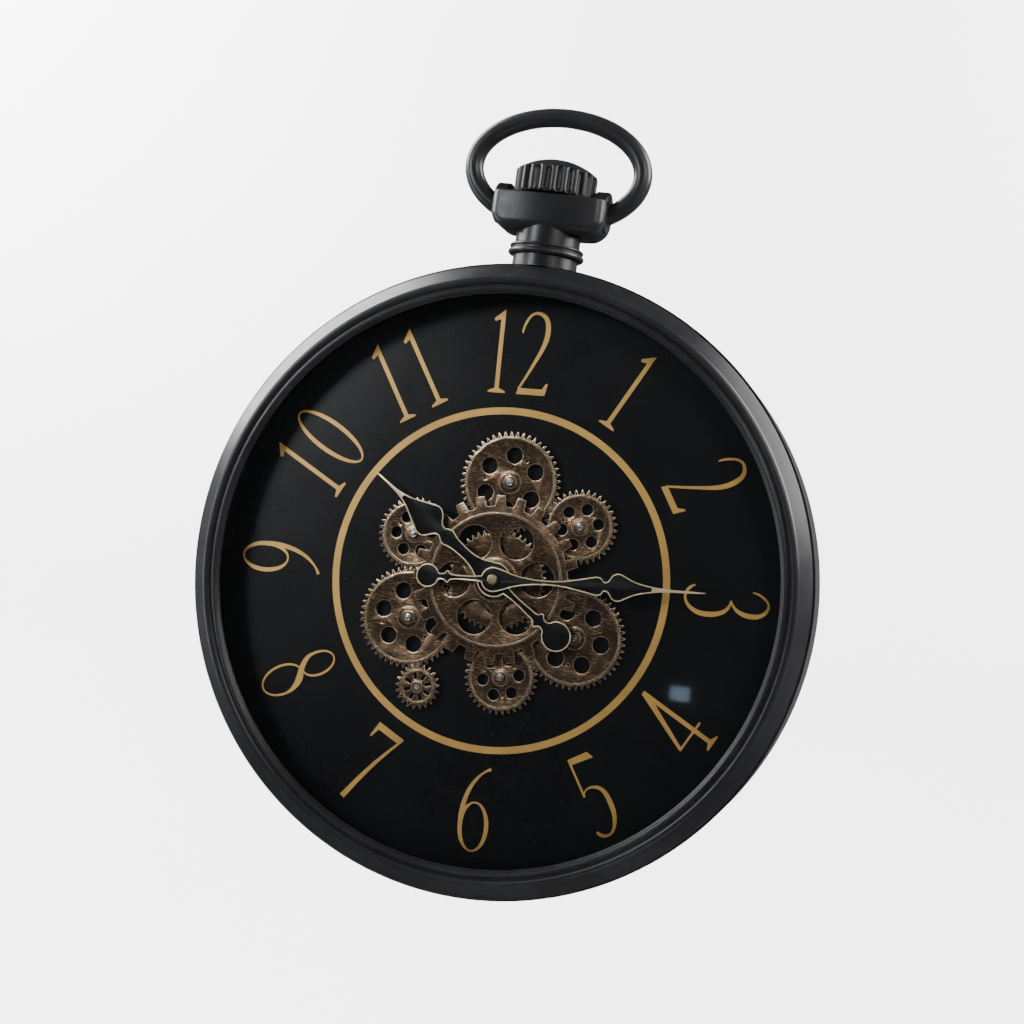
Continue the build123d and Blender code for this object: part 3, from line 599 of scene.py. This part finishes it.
def build_hands():
    for hand in ("hour_hand", "minute_hand"):
        broken_edges(f"{hand}_plate", f"{hand}_plate_finished", sizes().fine_bevel, hand_enamel())
        broken_edges(f"{hand}_edge", f"{hand}_edge_finished", sizes().fine_bevel, pale_gold_edge())
    broken_edges("hand_nut", "hand_nut_finished", sizes().fine_bevel, turned_brass(), 50.0)
    dress("hour_hand_bush", turned_brass())
    dress("minute_arbor", turned_brass())


def build_crown():
    """Neck, collar, fluted crown, cap, yoke and bow above 12 o'clock."""
    steps = sizes().small_steps
    lo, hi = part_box("pendant_neck")
    axis_y, neck_r = (lo.y + hi.y) / 2, hi.x
    drum_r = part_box("case_drum")[1].x - 0.6 * MM
    angles = np.linspace(0, 2 * math.pi, steps, endpoint=False)
    saddle = np.sqrt(drum_r ** 2 - (neck_r * np.cos(angles)) ** 2)
    rise = np.concatenate([[0.0], np.linspace(0.02, 0.985, 12), [1.0]])[:, None]
    inset = np.where(rise >= 1.0, 0.6 * MM, 0.0)
    height = saddle[None, :] + (hi.z - saddle[None, :]) * rise
    points = np.stack([(neck_r - inset) * np.cos(angles), axis_y + (neck_r - inset) * np.sin(angles), height], -1)
    settle(smooth(grid_surface("pendant_neck_finished", points, False, True, cap_rows=True), 50),
           "pendant_neck", satin_enamel())

    lo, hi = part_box("neck_collar")
    half = np.linspace(-math.pi / 2, math.pi / 2, 11)
    wide, narrow = 2.4 * MM, 1.4 * MM
    lower = np.stack([neck_r + 2.3 * MM + wide * np.cos(half), lo.z + wide + wide * np.sin(half)], -1)
    upper = np.stack([neck_r + 2.4 * MM + narrow * np.cos(half), hi.z - narrow + narrow * np.sin(half)], -1)
    ends = [[neck_r - 0.2 * MM, lo.z]], [[neck_r - 0.2 * MM, hi.z]]
    outline = np.concatenate([ends[0], lower, upper, ends[1]])
    settle(smooth(crown_turned("neck_collar_finished", outline, steps, axis_y), 50), "neck_collar",
           satin_enamel())

    lo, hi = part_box("crown_knob")
    crown_r, low, high = hi.x, lo.z, hi.z
    rise = high - low
    soft = 0.7 * MM
    outline = np.array([[6 * MM, low], [crown_r - 2 * soft, low], [crown_r - soft, low + 0.3 * soft],
                        [crown_r - 0.2 * soft, low + soft], [crown_r, low + 2 * soft]]
                       + [[crown_r, low + rise * t] for t in (0.2, 0.4, 0.6, 0.8)]
                       + [[crown_r, high - 2.2 * soft], [crown_r - 0.25 * soft, high - 1.1 * soft],
                          [crown_r - soft, high - 0.4 * soft], [crown_r - 2 * soft, high], [6 * MM, high]])
    flutes, depth = sizes().flute_count, sizes().flute_depth

    def groove(angle, z):
        """A cosine raised to a power makes round ridges with narrower grooves; it fades out at both ends."""
        wave = (0.5 - 0.5 * np.cos(flutes * angle)) ** 1.3
        fade = np.clip((z - low) / (2 * soft), 0, 1) * np.clip((high - z) / (2.2 * soft), 0, 1)
        return -depth * wave * np.sqrt(fade)

    steps_crown = flutes * 16
    settle(smooth(crown_turned("crown_knob_finished", outline, steps_crown, axis_y, groove), 60), "crown_knob",
           satin_enamel())

    lo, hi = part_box("crown_cap")
    cap_r, dome_rise = hi.x, hi.z - lo.z
    dome_r = (cap_r ** 2 + dome_rise ** 2) / (2 * dome_rise)
    lean = np.linspace(0.01, 1, 22) * math.asin(cap_r / dome_r)
    cap = np.stack([dome_r * np.sin(lean), hi.z - dome_r + dome_r * np.cos(lean)], -1)
    cap = np.concatenate([cap, [[cap_r - 0.5 * MM, lo.z - 0.2 * MM]]])
    settle(smooth(crown_turned("crown_cap_finished", cap, steps, axis_y), 60), "crown_cap", satin_enamel())

    yoke = broken_edges("crown_yoke", "crown_yoke_finished", sizes().yoke_bevel, satin_enamel(), 38.0, 3)
    yoke.modifiers["Broken edges"].harden_normals = True
    for node in ("crown_stem", "stem_nut"):
        dress(node, bright_steel())
    build_bow(axis_y)


def build_bow(axis_y):
    """The bow: a round tube along an ellipse, x = a cos t, z = c + b sin t, cut square beside the lugs."""
    lo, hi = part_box("bow_ring")
    tube = (hi.y - lo.y) / 2
    pivot = JOINTS["bow_swing"]["pos_m"]
    half_w, half_h, cut_x = hi.x - tube, 44.6 * MM, 48.4 * MM
    centre_z = hi.z - tube - half_h
    t = np.radians(np.linspace(-56, 236, 170))
    path = np.stack([half_w * np.cos(t), axis_y + 0 * t, centre_z + half_h * np.sin(t)], -1)
    along = np.gradient(path, axis=0)
    along /= np.linalg.norm(along, axis=1, keepdims=True)
    depth_axis = np.array([0.0, 1.0, 0.0])
    outward = np.cross(along, depth_axis)
    around = np.linspace(0, 2 * math.pi, sizes().tube_steps, endpoint=False)
    points = path[:, None] + tube * (np.cos(around)[None, :, None] * outward[:, None]
                                     + np.sin(around)[None, :, None] * depth_axis)
    ring = grid_surface("bow_ring_finished", points, False, True, cap_rows=True)
    work = bmesh.new()
    work.from_mesh(ring.data)
    for side in (-1, 1):
        low = [v for v in work.verts if v.co.z < centre_z and v.co.x * side > 0]
        near = list({item for v in low for item in (v, *v.link_edges, *v.link_faces)})
        cut = bmesh.ops.bisect_plane(work, geom=near, plane_co=(side * cut_x, 0, 0), plane_no=(-side, 0, 0),
                                     clear_outer=True)["geom_cut"]
        rim = [item for item in cut if isinstance(item, bmesh.types.BMEdge)]
        bmesh.ops.holes_fill(work, edges=rim, sides=0)
        inner, outer = 37.0 * MM, 50.4 * MM
        place = Matrix.Translation((side * (inner + outer) / 2, axis_y, pivot[2])) @ Matrix.Rotation(
            math.pi / 2, 4, "Y")
        bmesh.ops.create_cone(work, cap_ends=True, segments=32, radius1=4 * MM, radius2=4 * MM,
                              depth=outer - inner, matrix=place)
    work.to_mesh(ring.data)
    work.free()
    settle(smooth(ring, 40), "bow_ring", satin_enamel())


def build_back():
    """Back cover, hatches, hanger and screws, and the works that they hide."""
    broken_edges("back_cover", "back_cover_finished", sizes().fine_bevel, coated_steel("cover", 0.022, 0.5))
    broken_edges("battery_hatches", "battery_hatches_finished", 2 * sizes().fine_bevel,
                 moulded("black", 0.016, 0.016, 0.017, 0.45))
    broken_edges("back_cover_screws", "back_cover_screws_finished", sizes().fine_bevel, bright_steel())
    dress("hanger_plate", bright_steel())
    for node in ("hanger_rivets", "bezel_screws", "dial_screws", "motor_shaft", "motor_can"):
        dress(node, bright_steel())
    for node in ("movement_case", "movement_lid", "battery_tray", "gearbox_case", "gearbox_lid"):
        dress(node, moulded("black", 0.016, 0.016, 0.017, 0.45))
    for node in ("hour_wheel", "setting_wheel", "setting_knob"):
        dress(node, moulded("white", 0.62, 0.62, 0.60, 0.4))
    for node in ("clock_battery", "gear_batteries"):
        dress(node, moulded("sleeve", 0.02, 0.02, 0.025, 0.25))
    dress("motor_pinion", turned_brass())
    dress("stepper_coil", moulded("copper_wire", 0.42, 0.17, 0.07, 0.35))
    dress("circuit_board", moulded("board_green", 0.02, 0.12, 0.05, 0.35))


# ------------------------------------------------------------------ studio
CAMERA_AZIMUTH = 13.1015
CAMERA_ELEVATION = -1.2936
CAMERA_ROLL = 8.1
CAMERA_LENS = 63.94
DIAL_OFFSET = (-0.01167, -0.0560)   # where the dial's centre lies from the middle of view, right and up


WINDOW = (0.165, -0.068, 1.4, 0.030, 0.022, 3.2)   # x and z on the glass, distance, width, height, glow


def camera_axes():
    a, e, roll = (math.radians(v) for v in (CAMERA_AZIMUTH, CAMERA_ELEVATION, CAMERA_ROLL))
    back = Vector((math.sin(a) * math.cos(e), -math.cos(a) * math.cos(e), math.sin(e)))
    right = (-back).cross(Vector((0, 0, 1))).normalized()
    up = right.cross(-back)
    return (math.cos(roll) * right + math.sin(roll) * up, -math.sin(roll) * right + math.cos(roll) * up, back)


def build_stage():
    """Seamless paper, soft lamps and the camera."""
    lo, hi = Vector(CAD_BOX[0]), Vector(CAD_BOX[1])
    bend, wall_y, floor_z, reach = 0.7, 1.1, lo.z - 0.55, 4.0
    turn = np.linspace(0, math.pi / 2, 16)
    y = np.concatenate([[-1.5], wall_y - bend + bend * np.sin(turn), [wall_y]])
    z = np.concatenate([[floor_z], floor_z + bend - bend * np.cos(turn), [reach]])
    x = np.linspace(-reach, reach, 9)
    points = np.stack([x[None, :] + 0 * y[:, None], y[:, None] + 0 * x, z[:, None] + 0 * x], -1)
    paper = grid_surface("studio_sweep", points, False, False)
    paper.data.shade_smooth()
    paper.data.materials.append(studio_paper())
    paper.visible_glossy = False

    right, up, back = camera_axes()
    dial_centre = Vector((0, -0.045, 0))
    camera = bpy.data.objects.new("camera", bpy.data.cameras.new("camera"))
    place = dial_centre + back * sizes().view_distance - right * DIAL_OFFSET[0] - up * DIAL_OFFSET[1]
    camera.matrix_world = Matrix.Translation(place) @ Matrix((right, up, back)).transposed().to_4x4()
    camera.data.lens = CAMERA_LENS
    camera.data.sensor_width = 36.0
    bpy.context.scene.collection.objects.link(camera)
    bpy.context.scene.camera = camera

    lamp("key_left", (-1.16, -1.38, 0.56), 0.5, 0.6, 30.0, (0.97, 0.985, 1.0))
    lamp("fill_right", (1.05, -1.25, 0.95), 0.8, 0.6, 24.0, (1.0, 0.99, 0.97))
    lamp("side_left", (-1.7, -0.3, 0.1), 0.5, 1.6, 26.0, (1.0, 1.0, 1.0))
    lamp("side_right", (1.7, -0.2, 0.15), 0.5, 1.6, 3.0, (1.0, 1.0, 1.0))
    lamp("top_strip", (-0.1, -0.8, 1.6), 1.4, 0.4, 2.0, (1.0, 1.0, 1.0))
    lamp("low_front", (0.5, -1.2, -1.3), 1.0, 0.4, 6.0, (1.0, 0.99, 0.97))
    for name, x in (("rim_right", 0.52), ("rim_left", -0.75)):
        lamp(name, (x, 0.85, 0.05), 0.35, 1.3, 0.6, (1.0, 1.0, 1.0)).visible_camera = False
    lamp("paper_left", (-1.6, 0.35, 1.2), 1.2, 1.4, 170.0, (1, 1, 1), (0.0, 1.1, 0.0))
    lamp("paper_right", (1.6, 0.35, 1.2), 1.2, 1.4, 170.0, (1, 1, 1), (0.0, 1.1, 0.0))
    glass_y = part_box("front_glass")[0].y
    x, z, far, wide, tall, glow = WINDOW
    seen = Vector((x, glass_y, z))
    way = seen - place
    spot = seen + Vector((way.x, -way.y, way.z)).normalized() * far
    lamp("small_window", spot, wide, tall, glow * math.pi * wide * tall, (0.62, 0.82, 1.0), seen)
    world = bpy.data.worlds.new("studio_air")
    world.use_nodes = True
    world.node_tree.nodes["Background"].inputs["Color"].default_value = (0.80, 0.84, 0.90, 1)
    world.node_tree.nodes["Background"].inputs["Strength"].default_value = 0.07
    bpy.context.scene.world = world


def lamp(name, place, wide, tall, power, colour, aim=(0.0, -0.03, 0.05)):
    light = bpy.data.lights.new(name, "AREA")
    light.shape = "RECTANGLE"
    light.size, light.size_y, light.energy, light.color = wide, tall, power, colour
    lamp_object = bpy.data.objects.new(name, light)
    towards = Vector(aim) - Vector(place)
    lamp_object.matrix_world = Matrix.Translation(place) @ towards.to_track_quat("-Z", "Y").to_matrix().to_4x4()
    bpy.context.scene.collection.objects.link(lamp_object)
    return lamp_object


# ------------------------------------------------------------------ add-on
class ClockOperator:
    """Runs one builder; subclasses name it."""
    bl_options = {"REGISTER", "UNDO"}

    def execute(self, context):
        type(self).builder()
        return {"FINISHED"}


def make_operator(key, label, doc, builder):
    return type(f"CLOCK_OT_{key}", (ClockOperator, bpy.types.Operator), {
        "__doc__": doc, "bl_idname": f"gear_clock.{key}", "bl_label": label, "builder": staticmethod(builder)})


STEPS = [
    make_operator("stage", "Studio", "Set up the paper, lamps and camera", build_stage),
    make_operator("case", "Case", "Turn the drum, bezel and inner wall", build_case),
    make_operator("dial", "Dial", "Finish the dial, its ring and numerals", build_dial),
    make_operator("gears", "Gears", "Break the gears' edges and finish them in old bronze", build_gears),
    make_operator("hands", "Hands", "Finish the hands and their pale edges", build_hands),
    make_operator("crown", "Crown", "Shape the neck, collar, crown, yoke and bow", build_crown),
    make_operator("back", "Back", "Finish the back and the hidden works", build_back),
    make_operator("glass", "Glass", "Fit the front glass", build_glass),
]


class CLOCK_PT_panel(bpy.types.Panel):
    """Lists the clock's sizes, colours and building steps"""
    bl_label = "Gear Clock"
    bl_idname = "CLOCK_PT_panel"
    bl_space_type = "VIEW_3D"
    bl_region_type = "UI"
    bl_category = "Gear Clock"

    def draw(self, context):
        for group in (context.scene.clock_sizes, context.scene.clock_colours):
            box = self.layout.box()
            for name in group.__annotations__:
                box.prop(group, name)
        for step in STEPS:
            self.layout.operator(step.bl_idname)


CLASSES = [ClockSizes, ClockColours, *STEPS, CLOCK_PT_panel]


def register():
    for cls in CLASSES:
        bpy.utils.register_class(cls)
    bpy.types.Scene.clock_sizes = bpy.props.PointerProperty(type=ClockSizes)
    bpy.types.Scene.clock_colours = bpy.props.PointerProperty(type=ClockColours)


def unregister():
    del bpy.types.Scene.clock_sizes
    del bpy.types.Scene.clock_colours
    for cls in reversed(CLASSES):
        bpy.utils.unregister_class(cls)


def main():
    register()
    for step in STEPS:
        getattr(bpy.ops.gear_clock, step.bl_idname.split(".")[1])()


if __name__ == "__main__":
    main()
